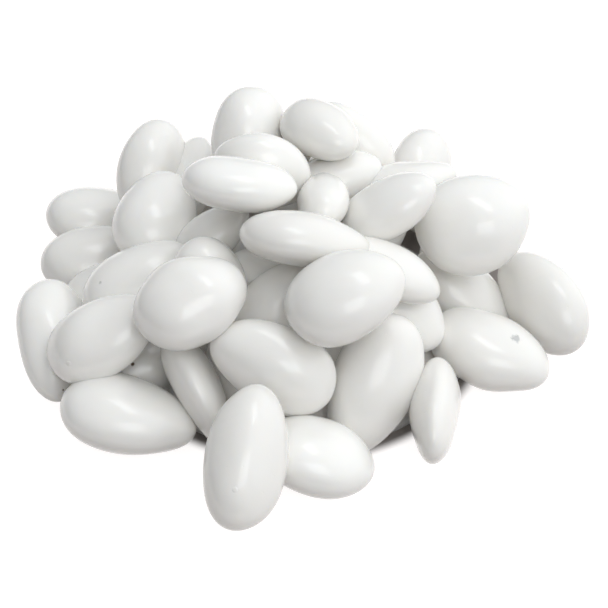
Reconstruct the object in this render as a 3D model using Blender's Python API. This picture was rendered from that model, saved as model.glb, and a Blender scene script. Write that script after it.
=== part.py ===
"""Heap of white sugared almonds as it lies on a table, real size in metres, +Z up.

The almonds that show are laid by eye: each has a row with where its middle shows, how high it lies,
how it is turned and how big it is. More almonds are set round the far side by a rule. All of them are
then slid along their own lines until they only just press into each other, and are fused with a low
core under them into one solid.
"""

import math

import bmesh
import bpy
import numpy as np

# Sizes below are in millimetres and are brought to metres when the meshes are made
METRE = 1000.0

# Where the heap is looked at from: the line of sight of each row starts at this eye
PHOTO_SIDE = 608.0
EYE_ELEVATION = math.radians(40.0)
EYE_DISTANCE = 420.0
FOCAL_PIXELS = 1867.0
LOOKED_AT = np.array((0.0, 0.0, 15.0))

# Heap and core
HEAP_MIDDLE = np.array((-2.0, 9.0))
CORE_RADIUS = 42.0
CORE_HEIGHT = 26.0
CORE_SIDES = 28
FLOOR_GAP = 0.3

# Almonds
PRESS = 1.0
JOIN = 0.7
SIDES_AROUND = 10
RINGS_ALONG = 6
SEED = 41

# Rows of the almonds that show, from the deepest to the nearest:
# middle on the picture, height of the middle, (turn, lean, roll) in degrees,
# (length, width, thickness), taper of the tip in hundredths, freedom to slide
SHOWN = (
    ((332, 356), 14, (20, 0, 30), (25, 17, 12), 14, 0.4),
    ((257, 275), 24, (20, 0, 30), (20, 14, 11), 10, 0.2),
    ((462, 306), 11, (-42, 0, 30), (28, 17, 13), 10, 0.4),
    ((190, 180), 28, (74, -20, 60), (22.5, 15, 11), 10, 0.3),
    ((151, 170), 24, (250, 20, 20), (26, 16.5, 13), 10, 0.2),
    ((420, 171), 24, (250, 30, 20), (23, 15.3, 13), 8, 0.3),
    ((352, 145), 32, (130, 0, 30), (25, 16, 12), 14, 0.4),
    ((336, 180), 34, (20, 0, 50), (22, 15, 12), 14, 0.8),
    ((98, 216), 9, (5, -15, 50), (26, 18, 13), 12, 0.1),
    ((96, 257), 9, (15, -10, 40), (26.5, 18.5, 13), 14, 0.1),
    ((405, 184), 28, (12, 0, 72), (24.5, 14.5, 10.5), 8, 0.5),
    ((247, 137), 37, (256, 15, 10), (25.5, 17, 13), 12, 0.2),
    ((262, 170), 40, (166, 0, 30), (22.5, 18, 12.5), 6, 0.4),
    ((321, 131), 43, (-30, 35, 45), (21, 15, 12), 14, 0.1),
    ((106, 304), 9, (35, 0, 30), (25, 18, 13), 14, 0.5),
    ((148, 368), 9, (20, -10, 30), (23, 16, 12.5), 14, 0.5),
    ((274, 305), 25, (50, 0, 20), (24, 15, 11), 10, 0.15),
    ((542, 302), 10, (130, -25, 20), (29.5, 18.5, 13.5), 10, 0.0),
    ((488, 350), 7.7, (-24, 10, 40), (29, 19.5, 14.3), 7, 0.0),
    ((399, 310), 20, (-40, 0, 25), (24, 18, 13), 10, 0.3),
    ((435, 411), 9, (266, 48, 90), (28, 17.5, 11), 6, 0.0),
    ((54, 341), 11, (274, 25, 20), (30, 17.5, 13), 12, 0.02),
    ((197, 388), 10.5, (-63, 10, 88), (28, 17, 10), 10, 0.3),
    ((156, 217), 27, (65, -30, 10), (25, 19, 14), 14, 0.2),
    ((213, 235), 31, (38, 0, 55), (20, 13, 10.5), 8, 0.3),
    ((323, 199), 36.5, (90, -65, 20), (21, 12, 10.5), 14, 0.4),
    ((387, 208), 36, (27, 20, 54), (25, 16, 12), 4, 0.05),
    ((473, 224), 28, (18, 0, 20), (26.8, 24, 15.5), 5, 0.1),
    ((389, 271), 27, (-26, 0, 60), (25, 14.5, 11), 3, 0.3),
    ((138, 280), 21.5, (30, 0, 40), (27, 17, 13), 14, 0.4),
    ((103, 337), 18.5, (30, 10, 30), (27, 18, 13), 14, 0.2),
    ((128, 416), 7.6, (-14, 5, 42), (30.5, 20, 14.5), 17, 0.0),
    ((305, 240), 37, (-7, 0, 75), (28.5, 17.5, 12), 14, 0.1),
    ((212, 284), 26, (-66, 0, 20), (22, 15.5, 13), 10, 0.4),
    ((373, 389), 13, (-113, 0, 0), (32.5, 19, 14), 12, 0.3),
    ((317, 457), 7.4, (-15, 0, 45), (25, 19.6, 14), 5, 0.0),
    ((273, 366), 21, (155, 0, 10), (29, 18.5, 13), 14, 0.2),
    ((345, 296), 32, (22, 0, 28), (27, 20.3, 14), 12, 0.1),
    ((240, 184), 43, (-6, 0, 70), (26, 17, 12), 3, 0.1),
    ((191, 301), 28, (25, 0, 22), (25.5, 20, 14), 11, 0.1),
    ((246, 457), 14.6, (81, -8, 0), (30.8, 17.9, 13.5), 9, 0.0),
)

# Middles of the almonds on the far side: across, away, height
FAR_SPOTS = (
    (-30, 50, 8),
    (-10, 58, 7),
    (8, 53, 8),
    (28, 45, 8),
    (39, 30, 7),
    (-20, 45, 14),
    (-8, 41, 25),
    (9, 44, 20),
)


def line_of_sight(forward, up, column, row):
    """Unit vector from the eye through a point of the picture: forward, plus right and up by the tangents."""
    right = np.array((1.0, 0.0, 0.0))
    line = forward + right * (column - PHOTO_SIDE / 2) / FOCAL_PIXELS
    line = line + up * (PHOTO_SIDE / 2 - row) / FOCAL_PIXELS
    return line / np.linalg.norm(line)


def axes_seen(line, turn, lean, roll):
    """Columns are the long, width and thickness axes. The long axis is turned from the picture's right,
    leaned out to the viewer, and the flat side that faces the viewer is then rolled about it."""
    turn, lean, roll = math.radians(turn), math.radians(lean), math.radians(roll)
    right = np.array((1.0, 0.0, 0.0)) - line * line[0]
    right /= np.linalg.norm(right)
    up = np.cross(right, line)
    long_axis = math.cos(lean) * (math.cos(turn) * right + math.sin(turn) * up) - math.sin(lean) * line
    to_viewer = -line + long_axis * (line @ long_axis)
    to_viewer /= np.linalg.norm(to_viewer)
    thick_axis = math.cos(roll) * to_viewer + math.sin(roll) * np.cross(to_viewer, long_axis)
    return np.column_stack((long_axis, np.cross(thick_axis, long_axis), thick_axis))


def almond_surface(size, taper, along, around):
    """Long half times cos s; width and thickness halves times sin s (1 - taper cos s) cos t or sin t."""
    s, t = np.meshgrid(along, around, indexing="ij")
    girth = np.sin(s) * (1 - taper * np.cos(s))
    half = np.asarray(size, float) / 2
    points = (half[0] * np.cos(s), half[1] * girth * np.cos(t), half[2] * girth * np.sin(t))
    return np.stack(points, -1).reshape(-1, 3)


class Almond:
    """One almond: its size, how it is turned, where its middle is and the line that it may slide on."""

    def __init__(self, axes, size, taper, middle, line, freedom, shown):
        self.axes = axes
        self.shown = shown
        self.size = np.array(size, float)
        self.taper = taper
        self.middle = middle
        self.start = middle.copy()
        self.line = line
        self.freedom = freedom
        along = (np.arange(14) + 0.5) / 14 * math.pi
        around = np.arange(12) / 12 * 2 * math.pi
        self.cloud = almond_surface(self.size, taper, along, around) @ axes.T

    def deepest(self, points):
        """How deep the deepest of the points lies in the almond, and the outward normal there."""
        local = (points - self.middle) @ self.axes
        half = self.size / 2
        narrow = 1 - self.taper * np.clip(local[:, 0] / half[0], -1, 1)
        scale = np.stack((np.full(len(local), half[0]), half[1] * narrow, half[2] * narrow), -1)
        level = np.sqrt(((local / scale) ** 2).sum(1)) + 1e-9
        slope = local / scale**2 / level[:, None]
        steep = np.linalg.norm(slope, axis=1) + 1e-9
        deep = (1 - level) / steep
        k = int(np.argmax(deep))
        return deep[k], self.axes @ (slope[k] / steep[k])


def overlap(one, other):
    """How deep two almonds press into each other, and the direction from the first to the second."""
    apart = np.linalg.norm(one.middle - other.middle) - (one.size[0] + other.size[0]) / 2
    if apart > 0:
        return -apart, one.line
    deep, normal = one.deepest(other.cloud + other.middle)
    back, back_normal = other.deepest(one.cloud + one.middle)
    return (deep, normal) if deep > back else (back, -back_normal)


def sunk_in_core(almond):
    """How deep the almond presses into the core, where (r/R)^3 + z/H is 1 on the core's dome."""
    points = almond.cloud + almond.middle
    out = np.hypot(points[:, 0] - HEAP_MIDDLE[0], points[:, 1] - HEAP_MIDDLE[1])
    level = (out / CORE_RADIUS) ** 3 + points[:, 2] / CORE_HEIGHT
    return ((1 - level) / np.hypot(3 * out**2 / CORE_RADIUS**3, 1 / CORE_HEIGHT)).max()


def keep_off_floor(almond):
    """Lifts an almond that dips under the floor until it just clears it."""
    low = (almond.cloud[:, 2] + almond.middle[2]).min() - FLOOR_GAP
    if low < 0:
        almond.middle = almond.middle - np.array((0.0, 0.0, low))


def lay_shown(eye, forward, up):
    """Almonds of the rows: each middle lies on its line of sight at its height."""
    almonds = []
    for (column, row), height, (turn, lean, roll), size, taper, freedom in SHOWN:
        line = line_of_sight(forward, up, column, row)
        middle = eye + line * (eye[2] - height) / -line[2]
        axes = axes_seen(line, turn, lean, roll)
        almonds.append(Almond(axes, size, taper / 100, middle, line, freedom, True))
    return almonds


def lay_far(eye, draw):
    """Almonds of the far side, each with its own drawn turn, lean, roll and size."""
    almonds = []
    for spot in FAR_SPOTS:
        middle = np.array(spot, float)
        line = (middle - eye) / np.linalg.norm(middle - eye)
        lean, roll = draw.uniform(-25, 5), draw.uniform(20, 60)
        axes = axes_seen(line, draw.uniform(-50, 50), lean, roll)
        size = (draw.uniform(24, 29), draw.uniform(16, 19), draw.uniform(12, 14))
        almonds.append(Almond(axes, size, draw.uniform(0.1, 0.2), middle, line, 0.15, False))
    return almonds


def slide_apart(almonds, rounds=60, pull=0.03):
    """Each round moves every pair that presses too deep apart along their lines of sight, the earlier of
    the two going back and the later one coming forward; two of the far side follow the press."""
    for _ in range(rounds):
        shift = np.zeros(len(almonds))
        for i, one in enumerate(almonds):
            for j in range(i + 1, len(almonds)):
                other = almonds[j]
                deep, normal = overlap(one, other)
                slant = max(abs(normal @ one.line), abs(normal @ other.line))
                if deep <= PRESS or slant < 0.15:
                    continue
                move = min(1.6, (deep - PRESS) / max(0.35, slant)) / (one.freedom + other.freedom + 1e-6)
                away = 1.0 if other.shown else -np.sign(normal @ one.line)
                shift[i] += move * one.freedom * away
                shift[j] -= move * other.freedom * away
        for k, almond in enumerate(almonds):
            home = (almond.start - almond.middle) @ almond.line
            step = np.clip(shift[k], -1.2, 1.2) + pull * home * (almond.freedom < 1)
            almond.middle = almond.middle + almond.line * step
            keep_off_floor(almond)


def close_up(almonds):
    """Joins every almond to the core: a loose one moves in along its line until it presses into the rest."""
    joined = [a for a in almonds if sunk_in_core(a) > JOIN]
    loose = [a for a in almonds if sunk_in_core(a) <= JOIN]
    while loose:
        found = [a for a in loose if max(overlap(a, b)[0] for b in joined) > JOIN]
        if not found:
            nearest = max(loose, key=lambda a: max(overlap(a, b)[0] for b in joined))
            nearest.middle = nearest.middle + nearest.line * 0.4
            keep_off_floor(nearest)
            continue
        joined += found
        loose = [a for a in loose if not any(a is b for b in found)]


def lay_heap():
    """All almonds of the heap, from the far side to the nearest."""
    forward = np.array((0.0, math.cos(EYE_ELEVATION), -math.sin(EYE_ELEVATION)))
    up = np.array((0.0, math.sin(EYE_ELEVATION), math.cos(EYE_ELEVATION)))
    eye = LOOKED_AT - EYE_DISTANCE * forward
    almonds = lay_far(eye, np.random.default_rng(SEED)) + lay_shown(eye, forward, up)
    slide_apart(almonds)
    close_up(almonds)
    return almonds


# Solids


def almond_mesh(almond):
    """Corners and faces of an almond with few sides: rings at even angles along it and a corner at each end.
    The corners stand out a little, so that the flat sides keep the almond's real size on the whole."""
    stand_out = 1 + (1 / math.cos(math.pi / SIDES_AROUND) - 1) / 2
    along = np.arange(1, RINGS_ALONG + 1) / (RINGS_ALONG + 1) * math.pi
    around = np.arange(SIDES_AROUND) / SIDES_AROUND * 2 * math.pi
    rings = almond_surface(almond.size, almond.taper, along, around) * (1, stand_out, stand_out)
    tip = np.array(((almond.size[0] / 2, 0, 0),))
    corners = np.concatenate((tip, rings, -tip)) @ almond.axes.T + almond.middle
    corners[:, 2] = np.maximum(corners[:, 2], FLOOR_GAP)
    last = len(corners) - 1
    faces = []
    for k in range(SIDES_AROUND):
        n = (k + 1) % SIDES_AROUND
        faces.append((0, 1 + k, 1 + n))
        for r in range(RINGS_ALONG - 1):
            a, b = 1 + r * SIDES_AROUND, 1 + (r + 1) * SIDES_AROUND
            faces.append((a + k, b + k, b + n, a + n))
        faces.append((last, last - SIDES_AROUND + n, last - SIDES_AROUND + k))
    return corners, faces


def core_mesh():
    """Corners and faces of the core: rings of a dome where height over full height is 1 - (r/R)^3."""
    around = np.arange(CORE_SIDES) / CORE_SIDES * 2 * math.pi
    corners = []
    for share in (0.0, 0.12, 0.3, 0.5, 0.7, 0.86, 0.96):
        radius = CORE_RADIUS * (1 - share) ** (1 / 3)
        height = np.full(CORE_SIDES, share * CORE_HEIGHT)
        corners.append(np.stack((radius * np.cos(around), radius * np.sin(around), height), -1))
    rings = len(corners)
    corners = np.concatenate(corners + [np.array(((0.0, 0.0, CORE_HEIGHT),))])
    corners[:, :2] += HEAP_MIDDLE
    faces = [tuple(reversed(range(CORE_SIDES)))]
    for k in range(CORE_SIDES):
        n = (k + 1) % CORE_SIDES
        for r in range(rings - 1):
            a, b = r * CORE_SIDES, (r + 1) * CORE_SIDES
            faces.append((a + k, a + n, b + n, b + k))
        faces.append(((rings - 1) * CORE_SIDES + k, (rings - 1) * CORE_SIDES + n, len(corners) - 1))
    return corners, faces


def add_solid(name, corners, faces, place):
    """Mesh object in metres, its faces turned outwards."""
    mesh = bpy.data.meshes.new(name)
    mesh.from_pydata((corners / METRE).tolist(), [], faces)
    shape = bmesh.new()
    shape.from_mesh(mesh)
    bmesh.ops.recalc_face_normals(shape, faces=shape.faces)
    shape.to_mesh(mesh)
    shape.free()
    solid = bpy.data.objects.new(name, mesh)
    place.objects.link(solid)
    return solid


def keep_outer_skin(solid):
    """Drops every closed skin but the largest: hollows sealed inside are filled by that, scraps are lost."""
    shape = bmesh.new()
    shape.from_mesh(solid.data)
    shape.verts.ensure_lookup_table()
    left = set(shape.verts)
    skins = []
    while left:
        skin, edge = set(), [left.pop()]
        while edge:
            corner = edge.pop()
            skin.add(corner)
            for link in corner.link_edges:
                other = link.other_vert(corner)
                if other in left:
                    left.remove(other)
                    edge.append(other)
        skins.append(skin)
    skins.sort(key=len)
    for skin in skins[:-1]:
        bmesh.ops.delete(shape, geom=list(skin), context="VERTS")
    bmesh.ops.triangulate(shape, faces=shape.faces)
    shape.to_mesh(solid.data)
    shape.free()


def sugar_shell():
    """White, softly shining sugar shell."""
    shell = bpy.data.materials.new("white sugar shell")
    shell.use_nodes = True
    surface = shell.node_tree.nodes["Principled BSDF"]
    surface.inputs["Base Color"].default_value = (0.9, 0.89, 0.87, 1.0)
    surface.inputs["Roughness"].default_value = 0.35
    surface.inputs["Metallic"].default_value = 0.0
    return shell


for old in list(bpy.data.objects):
    bpy.data.objects.remove(old, do_unlink=True)

heap = lay_heap()
pieces = bpy.data.collections.new("almonds to fuse")
bpy.context.scene.collection.children.link(pieces)
for count, almond in enumerate(heap):
    add_solid(f"almond {count + 1}", *almond_mesh(almond), pieces)
almond_heap = add_solid("sugared_almond_heap", *core_mesh(), bpy.context.scene.collection)

fuse = almond_heap.modifiers.new("fuse almonds", "BOOLEAN")
fuse.operation = "UNION"
fuse.operand_type = "COLLECTION"
fuse.collection = pieces
fuse.solver = "EXACT"
bpy.context.view_layer.objects.active = almond_heap
bpy.ops.object.modifier_apply(modifier=fuse.name)
for piece in list(pieces.objects):
    bpy.data.objects.remove(piece, do_unlink=True)
bpy.data.collections.remove(pieces)
keep_outer_skin(almond_heap)

# The heap's box stands on the origin by the middle of its bottom
corners = np.array([corner.co[:] for corner in almond_heap.data.vertices])
middle = (corners.min(0) + corners.max(0)) / 2
for corner, spot in zip(almond_heap.data.vertices, corners - (middle[0], middle[1], 0.0)):
    corner.co = spot
almond_heap.data.update()
almond_heap.data.materials.append(sugar_shell())
print("almonds", len(heap), "triangles", len(almond_heap.data.polygons))
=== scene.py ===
"""Heap of white sugared almonds on a pale floor, as in the photograph.

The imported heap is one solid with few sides. Here every almond is shown at its full shape in its sugar
shell, in the place where the solid has it, with the almonds inside and the heap's own low core under them.
"""

import math

import bpy
import mathutils
import numpy as np
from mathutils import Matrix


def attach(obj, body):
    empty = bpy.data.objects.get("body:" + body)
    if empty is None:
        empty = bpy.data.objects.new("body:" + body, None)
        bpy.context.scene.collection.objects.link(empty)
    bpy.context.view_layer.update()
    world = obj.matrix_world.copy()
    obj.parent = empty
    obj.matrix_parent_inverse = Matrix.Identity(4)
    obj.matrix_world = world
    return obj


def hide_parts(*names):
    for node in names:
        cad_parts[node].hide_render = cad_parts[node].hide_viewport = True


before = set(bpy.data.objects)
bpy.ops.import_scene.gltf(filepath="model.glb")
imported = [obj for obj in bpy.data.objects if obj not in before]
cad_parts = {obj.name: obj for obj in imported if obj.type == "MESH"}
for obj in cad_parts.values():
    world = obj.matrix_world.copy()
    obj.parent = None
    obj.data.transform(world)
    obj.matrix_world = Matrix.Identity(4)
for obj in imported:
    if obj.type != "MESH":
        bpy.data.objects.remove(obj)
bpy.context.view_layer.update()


# Sugared almonds of the heap
#
# Whole almonds in a hard white sugar shell, built up in a turning pan layer by layer, so each is smooth and
# satin with low lumps. They lie loose on each other. Rows give each one from the photograph.

METRE = 1000.0
PHOTO_SIDE = 608.0
EYE_ELEVATION = math.radians(40.0)
EYE_DISTANCE = 420.0
FOCAL_PIXELS = 1867.0
LOOKED_AT = np.array((0.0, 0.0, 15.0))
HEAP_MIDDLE = np.array((-2.0, 9.0))
CORE_RADIUS = 42.0
CORE_HEIGHT = 26.0
FLOOR_GAP = 0.3
PRESS = 1.0
JOIN = 0.7
SIDES_AROUND = 10
RINGS_ALONG = 6
SEED = 41

# Almonds that the photograph shows: middle on the picture, height of the middle, (turn, lean, roll),
# (length, width, thickness), taper in hundredths, freedom to slide
SHOWN = (
    ((332, 356), 14, (20, 0, 30), (25, 17, 12), 14, 0.4),
    ((257, 275), 24, (20, 0, 30), (20, 14, 11), 10, 0.2),
    ((462, 306), 11, (-42, 0, 30), (28, 17, 13), 10, 0.4),
    ((190, 180), 28, (74, -20, 60), (22.5, 15, 11), 10, 0.3),
    ((151, 170), 24, (250, 20, 20), (26, 16.5, 13), 10, 0.2),
    ((420, 171), 24, (250, 30, 20), (23, 15.3, 13), 8, 0.3),
    ((352, 145), 32, (130, 0, 30), (25, 16, 12), 14, 0.4),
    ((336, 180), 34, (20, 0, 50), (22, 15, 12), 14, 0.8),
    ((98, 216), 9, (5, -15, 50), (26, 18, 13), 12, 0.1),
    ((96, 257), 9, (15, -10, 40), (26.5, 18.5, 13), 14, 0.1),
    ((405, 184), 28, (12, 0, 72), (24.5, 14.5, 10.5), 8, 0.5),
    ((247, 137), 37, (256, 15, 10), (25.5, 17, 13), 12, 0.2),
    ((262, 170), 40, (166, 0, 30), (22.5, 18, 12.5), 6, 0.4),
    ((321, 131), 43, (-30, 35, 45), (21, 15, 12), 14, 0.1),
    ((106, 304), 9, (35, 0, 30), (25, 18, 13), 14, 0.5),
    ((148, 368), 9, (20, -10, 30), (23, 16, 12.5), 14, 0.5),
    ((274, 305), 25, (50, 0, 20), (24, 15, 11), 10, 0.15),
    ((542, 302), 10, (130, -25, 20), (29.5, 18.5, 13.5), 10, 0.0),
    ((488, 350), 7.7, (-24, 10, 40), (29, 19.5, 14.3), 7, 0.0),
    ((399, 310), 20, (-40, 0, 25), (24, 18, 13), 10, 0.3),
    ((435, 411), 9, (266, 48, 90), (28, 17.5, 11), 6, 0.0),
    ((54, 341), 11, (274, 25, 20), (30, 17.5, 13), 12, 0.02),
    ((197, 388), 10.5, (-63, 10, 88), (28, 17, 10), 10, 0.3),
    ((156, 217), 27, (65, -30, 10), (25, 19, 14), 14, 0.2),
    ((213, 235), 31, (38, 0, 55), (20, 13, 10.5), 8, 0.3),
    ((323, 199), 36.5, (90, -65, 20), (21, 12, 10.5), 14, 0.4),
    ((387, 208), 36, (27, 20, 54), (25, 16, 12), 4, 0.05),
    ((473, 224), 28, (18, 0, 20), (26.8, 24, 15.5), 5, 0.1),
    ((389, 271), 27, (-26, 0, 60), (25, 14.5, 11), 3, 0.3),
    ((138, 280), 21.5, (30, 0, 40), (27, 17, 13), 14, 0.4),
    ((103, 337), 18.5, (30, 10, 30), (27, 18, 13), 14, 0.2),
    ((128, 416), 7.6, (-14, 5, 42), (30.5, 20, 14.5), 17, 0.0),
    ((305, 240), 37, (-7, 0, 75), (28.5, 17.5, 12), 14, 0.1),
    ((212, 284), 26, (-66, 0, 20), (22, 15.5, 13), 10, 0.4),
    ((373, 389), 13, (-113, 0, 0), (32.5, 19, 14), 12, 0.3),
    ((317, 457), 7.4, (-15, 0, 45), (25, 19.6, 14), 5, 0.0),
    ((273, 366), 21, (155, 0, 10), (29, 18.5, 13), 14, 0.2),
    ((345, 296), 32, (22, 0, 28), (27, 20.3, 14), 12, 0.1),
    ((240, 184), 43, (-6, 0, 70), (26, 17, 12), 3, 0.1),
    ((191, 301), 28, (25, 0, 22), (25.5, 20, 14), 11, 0.1),
    ((246, 457), 14.6, (81, -8, 0), (30.8, 17.9, 13.5), 9, 0.0),
)

# Middles of the almonds on the far side
FAR_SPOTS = (
    (-30, 50, 8),
    (-10, 58, 7),
    (8, 53, 8),
    (28, 45, 8),
    (39, 30, 7),
    (-20, 45, 14),
    (-8, 41, 25),
    (9, 44, 20),
)

# Dullest and whitest shell of those that show, from 0 for the dull white to 1 for the bright one
WHITENESS = (0.3, 0.75)

GRID_ALONG = 44
GRID_AROUND = 44
LUMP_WAVES = 7
LUMP_HEIGHT = 0.16
LUMP_LENGTHS = (9.0, 26.0)


def line_of_sight(forward, up, column, row):
    """Unit vector from the eye through a point of the picture: forward, plus right and up by the tangents."""
    right = np.array((1.0, 0.0, 0.0))
    line = forward + right * (column - PHOTO_SIDE / 2) / FOCAL_PIXELS
    line = line + up * (PHOTO_SIDE / 2 - row) / FOCAL_PIXELS
    return line / np.linalg.norm(line)


def axes_seen(line, turn, lean, roll):
    """Columns are the long, width and thickness axes. The long axis is turned from the picture's right,
    leaned out to the viewer, and the flat side that faces the viewer is then rolled about it."""
    turn, lean, roll = math.radians(turn), math.radians(lean), math.radians(roll)
    right = np.array((1.0, 0.0, 0.0)) - line * line[0]
    right /= np.linalg.norm(right)
    up = np.cross(right, line)
    long_axis = math.cos(lean) * (math.cos(turn) * right + math.sin(turn) * up) - math.sin(lean) * line
    to_viewer = -line + long_axis * (line @ long_axis)
    to_viewer /= np.linalg.norm(to_viewer)
    thick_axis = math.cos(roll) * to_viewer + math.sin(roll) * np.cross(to_viewer, long_axis)
    return np.column_stack((long_axis, np.cross(thick_axis, long_axis), thick_axis))


def almond_surface(size, taper, along, around):
    """Long half times cos s; width and thickness halves times sin s (1 - taper cos s) cos t or sin t."""
    s, t = np.meshgrid(along, around, indexing="ij")
    girth = np.sin(s) * (1 - taper * np.cos(s))
    half = np.asarray(size, float) / 2
    points = (half[0] * np.cos(s), half[1] * girth * np.cos(t), half[2] * girth * np.sin(t))
    return np.stack(points, -1).reshape(-1, 3)


class Almond:
    """One almond: its size, how it is turned, where its middle is and the line that it may slide on."""

    def __init__(self, axes, size, taper, middle, line, freedom, shown):
        self.axes = axes
        self.shown = shown
        self.size = np.array(size, float)
        self.taper = taper
        self.middle = middle
        self.start = middle.copy()
        self.line = line
        self.freedom = freedom
        along = (np.arange(14) + 0.5) / 14 * math.pi
        around = np.arange(12) / 12 * 2 * math.pi
        self.cloud = almond_surface(self.size, taper, along, around) @ axes.T

    def deepest(self, points):
        """How deep the deepest of the points lies in the almond, and the outward normal there."""
        local = (points - self.middle) @ self.axes
        half = self.size / 2
        narrow = 1 - self.taper * np.clip(local[:, 0] / half[0], -1, 1)
        scale = np.stack((np.full(len(local), half[0]), half[1] * narrow, half[2] * narrow), -1)
        level = np.sqrt(((local / scale) ** 2).sum(1)) + 1e-9
        slope = local / scale**2 / level[:, None]
        steep = np.linalg.norm(slope, axis=1) + 1e-9
        deep = (1 - level) / steep
        k = int(np.argmax(deep))
        return deep[k], self.axes @ (slope[k] / steep[k])


def overlap(one, other):
    """How deep two almonds press into each other, and the direction from the first to the second."""
    apart = np.linalg.norm(one.middle - other.middle) - (one.size[0] + other.size[0]) / 2
    if apart > 0:
        return -apart, one.line
    deep, normal = one.deepest(other.cloud + other.middle)
    back, back_normal = other.deepest(one.cloud + one.middle)
    return (deep, normal) if deep > back else (back, -back_normal)


def sunk_in_core(almond):
    """How deep the almond presses into the core, where (r/R)^3 + z/H is 1 on the core's dome."""
    points = almond.cloud + almond.middle
    out = np.hypot(points[:, 0] - HEAP_MIDDLE[0], points[:, 1] - HEAP_MIDDLE[1])
    level = (out / CORE_RADIUS) ** 3 + points[:, 2] / CORE_HEIGHT
    return ((1 - level) / np.hypot(3 * out**2 / CORE_RADIUS**3, 1 / CORE_HEIGHT)).max()


def keep_off_floor(almond):
    """Lifts an almond that dips under the floor until it just clears it."""
    low = (almond.cloud[:, 2] + almond.middle[2]).min() - FLOOR_GAP
    if low < 0:
        almond.middle = almond.middle - np.array((0.0, 0.0, low))


def lay_shown(eye, forward, up):
    """Almonds of the rows: each middle lies on its line of sight at its height."""
    almonds = []
    for (column, row), height, (turn, lean, roll), size, taper, freedom in SHOWN:
        line = line_of_sight(forward, up, column, row)
        middle = eye + line * (eye[2] - height) / -line[2]
        axes = axes_seen(line, turn, lean, roll)
        almonds.append(Almond(axes, size, taper / 100, middle, line, freedom, True))
    return almonds


def lay_far(eye, draw):
    """Almonds of the far side, each with its own drawn turn, lean, roll and size."""
    almonds = []
    for spot in FAR_SPOTS:
        middle = np.array(spot, float)
        line = (middle - eye) / np.linalg.norm(middle - eye)
        lean, roll = draw.uniform(-25, 5), draw.uniform(20, 60)
        axes = axes_seen(line, draw.uniform(-50, 50), lean, roll)
        size = (draw.uniform(24, 29), draw.uniform(16, 19), draw.uniform(12, 14))
        almonds.append(Almond(axes, size, draw.uniform(0.1, 0.2), middle, line, 0.15, False))
    return almonds


def slide_apart(almonds, rounds=60, pull=0.03):
    """Each round moves every pair that presses too deep apart along their lines of sight, the earlier of
    the two going back and the later one coming forward; two of the far side follow the press."""
    for _ in range(rounds):
        shift = np.zeros(len(almonds))
        for i, one in enumerate(almonds):
            for j in range(i + 1, len(almonds)):
                other = almonds[j]
                deep, normal = overlap(one, other)
                slant = max(abs(normal @ one.line), abs(normal @ other.line))
                if deep <= PRESS or slant < 0.15:
                    continue
                move = min(1.6, (deep - PRESS) / max(0.35, slant)) / (one.freedom + other.freedom + 1e-6)
                away = 1.0 if other.shown else -np.sign(normal @ one.line)
                shift[i] += move * one.freedom * away
                shift[j] -= move * other.freedom * away
        for k, almond in enumerate(almonds):
            home = (almond.start - almond.middle) @ almond.line
            step = np.clip(shift[k], -1.2, 1.2) + pull * home * (almond.freedom < 1)
            almond.middle = almond.middle + almond.line * step
            keep_off_floor(almond)


def close_up(almonds):
    """Joins every almond to the core: a loose one moves in along its line until it presses into the rest."""
    joined = [a for a in almonds if sunk_in_core(a) > JOIN]
    loose = [a for a in almonds if sunk_in_core(a) <= JOIN]
    while loose:
        found = [a for a in loose if max(overlap(a, b)[0] for b in joined) > JOIN]
        if not found:
            nearest = max(loose, key=lambda a: max(overlap(a, b)[0] for b in joined))
            nearest.middle = nearest.middle + nearest.line * 0.4
            keep_off_floor(nearest)
            continue
        joined += found
        loose = [a for a in loose if not any(a is b for b in found)]


def lay_heap(eye, forward, up):
    """All almonds of the heap, from the far side to the nearest."""
    almonds = lay_far(eye, np.random.default_rng(SEED)) + lay_shown(eye, forward, up)
    slide_apart(almonds)
    close_up(almonds)
    return almonds


def heap_shift(almonds):
    """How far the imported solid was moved, in x and y, to stand on the origin by its box: the middle of the
    box of the corners of all its few-sided almonds and of the core's rim."""
    stand_out = 1 + (1 / math.cos(math.pi / SIDES_AROUND) - 1) / 2
    along = np.arange(1, RINGS_ALONG + 1) / (RINGS_ALONG + 1) * math.pi
    around = np.arange(SIDES_AROUND) / SIDES_AROUND * 2 * math.pi
    clouds = []
    for almond in almonds:
        rings = almond_surface(almond.size, almond.taper, along, around) * (1, stand_out, stand_out)
        tip = np.array(((almond.size[0] / 2, 0, 0),))
        clouds.append(np.concatenate((tip, rings, -tip)) @ almond.axes.T + almond.middle)
    corners = np.concatenate(clouds)
    middle = (corners.min(0) + corners.max(0)) / 2
    return np.array((-middle[0], -middle[1], 0.0))


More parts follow.
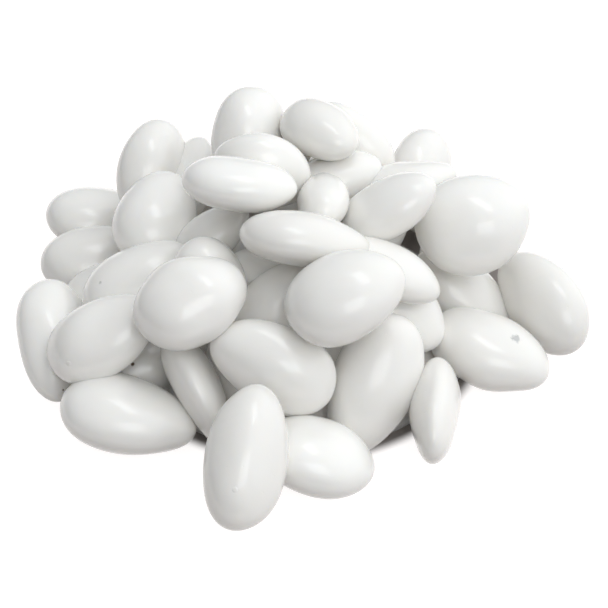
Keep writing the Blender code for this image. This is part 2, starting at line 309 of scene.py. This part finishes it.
def sugared_almond(almond, along, around, draw):
    """Grid of a full almond: the almond surface with a slightly keen edge, as its sides are drawn in by
    1 - keen cos(t)^2 across the thickness, moved out by the sum of a few sine waves with drawn directions,
    lengths and phases, times the height of a lump."""
    s, t = np.meshgrid(along, around, indexing="ij")
    half = almond.size / 2
    girth = np.sin(s) * (1 - almond.taper * np.cos(s))
    keen = draw.uniform(0.0, 0.1)
    local = np.stack((half[0] * np.cos(s), half[1] * girth * np.cos(t),
                      half[2] * girth * np.sin(t) * (1 - keen * np.cos(t) ** 2)), -1)
    out = local / half**2
    out /= np.linalg.norm(out, axis=-1, keepdims=True) + 1e-12
    lump = np.zeros(s.shape)
    for _ in range(LUMP_WAVES):
        way = draw.normal(size=3)
        way *= 2 * math.pi / draw.uniform(*LUMP_LENGTHS) / np.linalg.norm(way)
        lump += np.sin(local @ way + draw.uniform(0, 2 * math.pi))
    local = local + out * (lump * LUMP_HEIGHT / math.sqrt(LUMP_WAVES / 2) - LUMP_HEIGHT)[..., None]
    spots = local @ almond.axes.T + almond.middle
    spots[..., 2] = np.maximum(spots[..., 2], FLOOR_GAP / 2)
    return spots


def closed_grids(grids):
    """Corners and faces of closed skins: the first and last row of a grid is one corner each, and the rows
    between are rings."""
    corners, faces, start = [], [], 0
    for grid in grids:
        rings, sides = grid.shape[0] - 2, grid.shape[1]
        corners += [grid[0, :1], grid[1:-1].reshape(-1, 3), grid[-1, :1]]
        ring = np.arange(rings * sides).reshape(rings, sides) + start + 1
        after = np.roll(ring, -1, 1)
        quads = np.stack((ring[:-1], ring[1:], after[1:], after[:-1]), -1).reshape(-1, 4)
        last = np.full(sides, start + 1 + rings * sides)
        first = np.full(sides, start)
        faces += quads.tolist()
        faces += np.stack((first, ring[0], after[0]), -1).tolist()
        faces += np.stack((last, after[-1], ring[-1]), -1).tolist()
        start += rings * sides + 2
    return np.concatenate(corners), faces


def skin_of(name, grids, tints):
    """Smooth mesh object of closed grids in metres, with each skin's own tint as a number on its corners."""
    corners, faces = closed_grids(grids)
    mesh = bpy.data.meshes.new(name)
    mesh.from_pydata((corners / METRE).tolist(), [], faces)
    mesh.polygons.foreach_set("use_smooth", np.ones(len(faces), bool))
    counts = [(grid.shape[0] - 2) * grid.shape[1] + 2 for grid in grids]
    tint = mesh.attributes.new("tint", "FLOAT", "POINT")
    tint.data.foreach_set("value", np.repeat(np.asarray(tints, np.float32), counts))
    mesh.update()
    skin = bpy.data.objects.new(name, mesh)
    bpy.context.scene.collection.objects.link(skin)
    return skin


def picture_spot(grid, eye, line):
    """Point of an almond's grid nearest to a line of sight, on the side of the eye."""
    spots = grid.reshape(-1, 3)
    depth = (spots - eye) @ line
    off = np.linalg.norm(spots - eye - depth[:, None] * line, axis=1)
    return spots[np.argmin(off + 100 * (depth > np.median(depth)))]


def add_node(tree, kind, **values):
    """Shader node of a kind, with its inputs and settings given by name."""
    node = tree.nodes.new(kind)
    for key, value in values.items():
        label = key.replace("_", " ")
        if label in node.inputs:
            node.inputs[label].default_value = value
        else:
            setattr(node, key, value)
    return node


def sugar_shell(name, marks):
    """White sugar shell. The white runs from dull to bright by each almond's tint and by slow noise, the
    gloss wanders, and the bump sums low facets, fine grain and sparse pits. Marks are dark or raised spots."""
    shell = bpy.data.materials.new(name)
    shell.use_nodes = True
    tree = shell.node_tree
    surface = tree.nodes["Principled BSDF"]
    place = add_node(tree, "ShaderNodeTexCoord")
    tint = add_node(tree, "ShaderNodeAttribute", attribute_name="tint")

    slow = add_node(tree, "ShaderNodeTexNoise", Scale=70.0, Detail=2.0, Roughness=0.5)
    tree.links.new(place.outputs["Object"], slow.inputs["Vector"])
    lean = add_node(tree, "ShaderNodeMath", operation="MULTIPLY_ADD")
    lean.inputs[1].default_value = 0.8
    slow_half = add_node(tree, "ShaderNodeMath", operation="MULTIPLY")
    slow_half.inputs[1].default_value = 0.2
    tree.links.new(slow.outputs["Fac"], slow_half.inputs[0])
    tree.links.new(tint.outputs["Fac"], lean.inputs[0])
    tree.links.new(slow_half.outputs["Value"], lean.inputs[2])
    white = add_node(tree, "ShaderNodeValToRGB")
    white.color_ramp.elements[0].position = 0.15
    white.color_ramp.elements[0].color = (0.82, 0.80, 0.762, 1.0)
    white.color_ramp.elements[1].position = 0.85
    white.color_ramp.elements[1].color = (0.955, 0.942, 0.907, 1.0)
    tree.links.new(lean.outputs["Value"], white.inputs["Fac"])
    colour = white.outputs["Color"]

    ragged = add_node(tree, "ShaderNodeTexNoise", Scale=1500.0, Detail=2.0, Roughness=0.6)
    tree.links.new(place.outputs["Object"], ragged.inputs["Vector"])
    dents = []
    for spot, radius, uneven, dark, rise in marks:
        reach = add_node(tree, "ShaderNodeVectorMath", operation="DISTANCE")
        reach.inputs[1].default_value = spot / METRE
        tree.links.new(place.outputs["Object"], reach.inputs[0])
        edge = add_node(tree, "ShaderNodeMath", operation="MULTIPLY_ADD")
        tree.links.new(ragged.outputs["Fac"], edge.inputs[0])
        edge.inputs[1].default_value = -uneven / METRE
        tree.links.new(reach.outputs["Value"], edge.inputs[2])
        inside = add_node(tree, "ShaderNodeMapRange", interpolation_type="SMOOTHSTEP")
        inside.inputs["From Min"].default_value = (radius * 0.45 - uneven / 2) / METRE
        inside.inputs["From Max"].default_value = (radius * 1.15 - uneven / 2) / METRE
        inside.inputs["To Min"].default_value = 1.0
        inside.inputs["To Max"].default_value = 0.0
        tree.links.new(edge.outputs["Value"], inside.inputs["Value"])
        dents.append((inside.outputs["Result"], rise / METRE, 1.0))
        if dark:
            mix = add_node(tree, "ShaderNodeMix", data_type="RGBA")
            tree.links.new(inside.outputs["Result"], mix.inputs[0])
            tree.links.new(colour, mix.inputs[6])
            mix.inputs[7].default_value = (*dark, 1.0)
            colour = mix.outputs[2]
    tree.links.new(colour, surface.inputs["Base Color"])

    gloss_noise = add_node(tree, "ShaderNodeTexNoise", Scale=180.0, Detail=3.0, Roughness=0.55)
    tree.links.new(place.outputs["Object"], gloss_noise.inputs["Vector"])
    gloss = add_node(tree, "ShaderNodeMapRange")
    gloss.inputs["To Min"].default_value = 0.28
    gloss.inputs["To Max"].default_value = 0.4
    tree.links.new(gloss_noise.outputs["Fac"], gloss.inputs["Value"])
    tree.links.new(gloss.outputs["Result"], surface.inputs["Roughness"])

    facets = add_node(tree, "ShaderNodeTexNoise", Scale=260.0, Detail=1.0, Roughness=0.4)
    grain = add_node(tree, "ShaderNodeTexNoise", Scale=2600.0, Detail=2.0, Roughness=0.6)
    pits = add_node(tree, "ShaderNodeTexVoronoi", Scale=420.0)
    tree.links.new(place.outputs["Object"], facets.inputs["Vector"])
    tree.links.new(place.outputs["Object"], grain.inputs["Vector"])
    tree.links.new(place.outputs["Object"], pits.inputs["Vector"])
    pit_floor = add_node(tree, "ShaderNodeMapRange", interpolation_type="SMOOTHSTEP")
    pit_floor.inputs["From Max"].default_value = 0.11
    tree.links.new(pits.outputs["Distance"], pit_floor.inputs["Value"])
    bump = None
    for source, height, strength in (
        *dents,
        (facets.outputs["Fac"], 0.00022, 0.45),
        (pit_floor.outputs["Result"], 0.00005, 0.35),
        (grain.outputs["Fac"], 0.00002, 0.35),
    ):
        layer = add_node(tree, "ShaderNodeBump", Strength=strength, Distance=height)
        tree.links.new(source, layer.inputs["Height"])
        if bump:
            tree.links.new(bump.outputs["Normal"], layer.inputs["Normal"])
        bump = layer
    tree.links.new(bump.outputs["Normal"], surface.inputs["Normal"])

    surface.inputs["Metallic"].default_value = 0.0
    surface.inputs["IOR"].default_value = 1.5
    surface.inputs["Subsurface Weight"].default_value = 0.25
    surface.inputs["Subsurface Radius"].default_value = (1.0, 0.85, 0.65)
    surface.inputs["Subsurface Scale"].default_value = 0.0012
    surface.inputs["Coat Weight"].default_value = 0.8
    surface.inputs["Coat Roughness"].default_value = 0.1
    return shell


forward = np.array((0.0, math.cos(EYE_ELEVATION), -math.sin(EYE_ELEVATION)))
upward = np.array((0.0, math.sin(EYE_ELEVATION), math.cos(EYE_ELEVATION)))
eye = LOOKED_AT - EYE_DISTANCE * forward
heap = lay_heap(eye, forward, upward)
shift = heap_shift(heap)

draw = np.random.default_rng(SEED + 1)
along = np.linspace(0.0, math.pi, GRID_ALONG + 2)
around = np.arange(GRID_AROUND) / GRID_AROUND * 2 * math.pi
grids = [sugared_almond(almond, along, around, draw) + shift for almond in heap]
almonds = skin_of("sugared_almonds", grids, draw.uniform(*WHITENESS, len(grids)))

# Marks in the shells: which row from the front, where on the picture, radius, raggedness, colour, rise
MARKS = (
    (-23, (515, 336), 1.2, 1.9, (0.55, 0.55, 0.54), -0.08),
    (-20, (63, 389), 0.25, 0.15, (0.25, 0.20, 0.15), -0.2),
    (-26, (132, 366), 0.5, 0.2, (0.13, 0.08, 0.04), -0.4),
    (-12, (100, 283), 0.4, 0.5, (0.72, 0.70, 0.66), -0.1),
    (-11, (68, 362), 0.6, 0.2, None, 0.1),
    (-1, (236, 489), 0.6, 0.2, None, 0.06),
)
marks = []
for row, (column, line_row), radius, uneven, dark, rise in MARKS:
    line = line_of_sight(forward, upward, column, line_row)
    marks.append((picture_spot(grids[row], eye + shift, line), radius, uneven, dark, rise))

almonds.data.materials.append(sugar_shell("white sugar shell", marks))
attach(almonds, "root")
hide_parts("sugared_almond_heap")


# Almonds inside the heap
#
# More of the same almonds fill the heap under those that show. Only bits of them are seen in the gaps, so
# they are drawn at random and each is kept only where it presses no deeper than INSIDE_PRESS into any other.

INSIDE_TRIES = 2600
INSIDE_PRESS = 2.2
INSIDE_RADIUS = 50.0
INSIDE_HEIGHT = 14.0
INSIDE_LOWEST = 7.0
INSIDE_GRID_ALONG = 30
INSIDE_GRID_AROUND = 34

inside = []
draw = np.random.default_rng(SEED + 2)
for _ in range(INSIDE_TRIES):
    angle, share = draw.uniform(0, 2 * math.pi), math.sqrt(draw.uniform())
    height = draw.uniform(INSIDE_LOWEST, INSIDE_HEIGHT)
    radius = INSIDE_RADIUS * max(0.0, 1 - height / INSIDE_HEIGHT) ** (1 / 3) * share
    middle = np.array((*(HEAP_MIDDLE + radius * np.array((math.cos(angle), math.sin(angle)))), height))
    line = (middle - eye) / np.linalg.norm(middle - eye)
    axes = axes_seen(line, draw.uniform(-90, 90), draw.uniform(-30, 30), draw.uniform(0, 90))
    size = (draw.uniform(22, 26), draw.uniform(15, 17.5), draw.uniform(11.5, 13))
    found = Almond(axes, size, draw.uniform(0.1, 0.2), middle, line, 1.0, True)
    if (found.cloud[:, 2] + middle[2]).min() < FLOOR_GAP:
        continue
    if max(overlap(found, other)[0] for other in heap + inside) < INSIDE_PRESS:
        inside.append(found)

along = np.linspace(0.0, math.pi, INSIDE_GRID_ALONG + 2)
around = np.arange(INSIDE_GRID_AROUND) / INSIDE_GRID_AROUND * 2 * math.pi
grids = [sugared_almond(almond, along, around, draw) + shift for almond in inside]
inner = skin_of("sugared_almonds_inside", grids, draw.uniform(0.0, 1.0, len(grids)))
inner.data.materials.append(sugar_shell("white sugar shell inside", []))
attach(inner, "root")
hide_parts("sugared_almond_heap")


# Core of the heap
#
# Low dome under the almonds, out of sight, that stands for where they rest on the table: its flat base is
# the heap's flat face. It has the same sugar on it, as dust and crumbs gather at the bottom of a heap.

OWN_CORE_RADIUS = 41.0
OWN_CORE_HEIGHT = 12.0
CORE_SIDES = 64

turn = np.arange(CORE_SIDES) / CORE_SIDES * 2 * math.pi
lift = np.concatenate((np.linspace(0.0, 0.9, 14), (0.96, 0.99, 1.0)))
dome = []
for share in lift[::-1]:
    radius = OWN_CORE_RADIUS * (1 - share) ** (1 / 3)
    level = np.full(CORE_SIDES, share * OWN_CORE_HEIGHT)
    dome.append(np.stack((radius * np.cos(turn), radius * np.sin(turn), level), -1))
dome.append(np.zeros((CORE_SIDES, 3)))
dome = np.array(dome) + (*HEAP_MIDDLE, 0.0) + shift
core = skin_of("heap_core", [dome], [0.5])
core.data.materials.append(sugar_shell("sugar dust on the core", []))
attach(core, "root")
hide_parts("sugared_almond_heap")


# Floor, light and camera
#
# Pale floor that runs out of sight and glows for the eye and in reflections, so it looks lit through. In round
# spots under the heap the glow is left out, a painted shadow over the floor's own dim shading. The pale
# surroundings are brightest on the right, and two soft lamps stand in front and overhead.
# The camera stands where the almonds' lines of sight meet.

FLOOR_GLOW = 0.92
EVEN_LIGHT = 0.04
LIGHT_COLOUR = (0.955, 0.978, 1.0)
FLOOR_REACH = 4.0
SENSOR_WIDTH = 36.0

# Round spots of floor under the heap without glow, a painted shadow: middle, radius, radius where the full
# glow begins
PAINTED_SHADOW_SPOTS = (
    ((-2.0, 8.0), 41.5, 45.0),
    ((4.0, 26.0), 36.0, 41.0),
    ((44.0, 28.0), 5.0, 10.0),
)

# Soft light of the surroundings: which way it is brightest, and how bright it is there
SOFT_LIGHTS = (
    ((0.0, 0.0, 1.0), 0.37),
    ((0.92, 0.0, 0.39), 0.95),
    ((0.0, 0.92, 0.39), 0.45),
    ((0.0, -0.92, 0.39), 0.25),
)

floor_mesh = bpy.data.meshes.new("pale floor")
floor_corners = [(x * FLOOR_REACH, y * FLOOR_REACH, 0.0) for x, y in ((-1, -1), (1, -1), (1, 1), (-1, 1))]
floor_mesh.from_pydata(floor_corners, [], [(0, 1, 2, 3)])
floor = bpy.data.objects.new("pale_floor", floor_mesh)
bpy.context.scene.collection.objects.link(floor)
paint = bpy.data.materials.new("pale floor")
paint.use_nodes = True
tree = paint.node_tree
finish = tree.nodes["Principled BSDF"]
finish.inputs["Base Color"].default_value = (0.34, 0.31, 0.295, 1.0)
finish.inputs["Roughness"].default_value = 0.9
finish.inputs["Specular IOR Level"].default_value = 0.1
seen = add_node(tree, "ShaderNodeLightPath")
direct = add_node(tree, "ShaderNodeMath", operation="MAXIMUM")
tree.links.new(seen.outputs["Is Camera Ray"], direct.inputs[0])
tree.links.new(seen.outputs["Is Glossy Ray"], direct.inputs[1])
floor_place = add_node(tree, "ShaderNodeTexCoord")
glow = direct
# Painted shadow: the floor's glow fades out inside each spot under the heap
for middle, dark_radius, bright_radius in PAINTED_SHADOW_SPOTS:
    from_spot = add_node(tree, "ShaderNodeVectorMath", operation="DISTANCE")
    from_spot.inputs[1].default_value = (np.array((*middle, 0.0)) + shift) / METRE
    tree.links.new(floor_place.outputs["Object"], from_spot.inputs[0])
    fade = add_node(tree, "ShaderNodeMapRange", interpolation_type="SMOOTHSTEP")
    fade.inputs["From Min"].default_value = dark_radius / METRE
    fade.inputs["From Max"].default_value = bright_radius / METRE
    tree.links.new(from_spot.outputs["Value"], fade.inputs["Value"])
    faded = add_node(tree, "ShaderNodeMath", operation="MULTIPLY")
    tree.links.new(glow.outputs["Value"], faded.inputs[0])
    tree.links.new(fade.outputs["Result"], faded.inputs[1])
    glow = faded
full_glow = add_node(tree, "ShaderNodeMath", operation="MULTIPLY")
full_glow.inputs[1].default_value = FLOOR_GLOW
tree.links.new(glow.outputs["Value"], full_glow.inputs[0])
finish.inputs["Emission Color"].default_value = (1.0, 0.985, 0.98, 1.0)
tree.links.new(full_glow.outputs["Value"], finish.inputs["Emission Strength"])
floor_mesh.materials.append(paint)

surroundings = bpy.data.worlds.new("pale surroundings")
surroundings.use_nodes = True
sky = surroundings.node_tree
sky.nodes["Background"].inputs["Color"].default_value = (*LIGHT_COLOUR, 1.0)
way = add_node(sky, "ShaderNodeTexCoord")
total = add_node(sky, "ShaderNodeValue")
total.outputs[0].default_value = EVEN_LIGHT
for brightest, level in SOFT_LIGHTS:
    facing = add_node(sky, "ShaderNodeVectorMath", operation="DOT_PRODUCT")
    facing.inputs[1].default_value = brightest
    sky.links.new(way.outputs["Generated"], facing.inputs[0])
    soft = add_node(sky, "ShaderNodeMapRange", interpolation_type="SMOOTHSTEP")
    soft.inputs["To Max"].default_value = level
    sky.links.new(facing.outputs["Value"], soft.inputs["Value"])
    both = add_node(sky, "ShaderNodeMath", operation="ADD")
    sky.links.new(total.outputs[0], both.inputs[0])
    sky.links.new(soft.outputs["Result"], both.inputs[1])
    total = both
sky.links.new(total.outputs[0], sky.nodes["Background"].inputs["Strength"])
bpy.context.scene.world = surroundings

for name, spot, width, depth, power in (
    ("soft light from the front", (0.12, -0.5, 0.55), 0.3, 0.3, 0.6),
    ("strip of light overhead", (0.12, 0.08, 1.05), 0.5, 0.2, 0.85),
):
    lamp = bpy.data.lights.new(name, "AREA")
    lamp.shape = "RECTANGLE"
    lamp.size = width
    lamp.size_y = depth
    lamp.energy = power
    lamp.color = LIGHT_COLOUR
    holder = bpy.data.objects.new(name, lamp)
    holder.location = spot
    holder.visible_camera = False
    aim = mathutils.Vector((0.0, 0.0, 0.02)) - mathutils.Vector(spot)
    holder.rotation_euler = aim.to_track_quat("-Z", "Y").to_euler()
    bpy.context.scene.collection.objects.link(holder)

lens = bpy.data.cameras.new("camera")
lens.sensor_width = SENSOR_WIDTH
lens.lens = FOCAL_PIXELS / PHOTO_SIDE * SENSOR_WIDTH
lens.clip_start = 0.01
camera = bpy.data.objects.new("camera", lens)
camera.location = (eye + shift) / METRE
camera.rotation_euler = (math.pi / 2 - EYE_ELEVATION, 0.0, 0.0)
bpy.context.scene.collection.objects.link(camera)
bpy.context.scene.camera = camera
bpy.context.scene.view_settings.view_transform = "Standard"
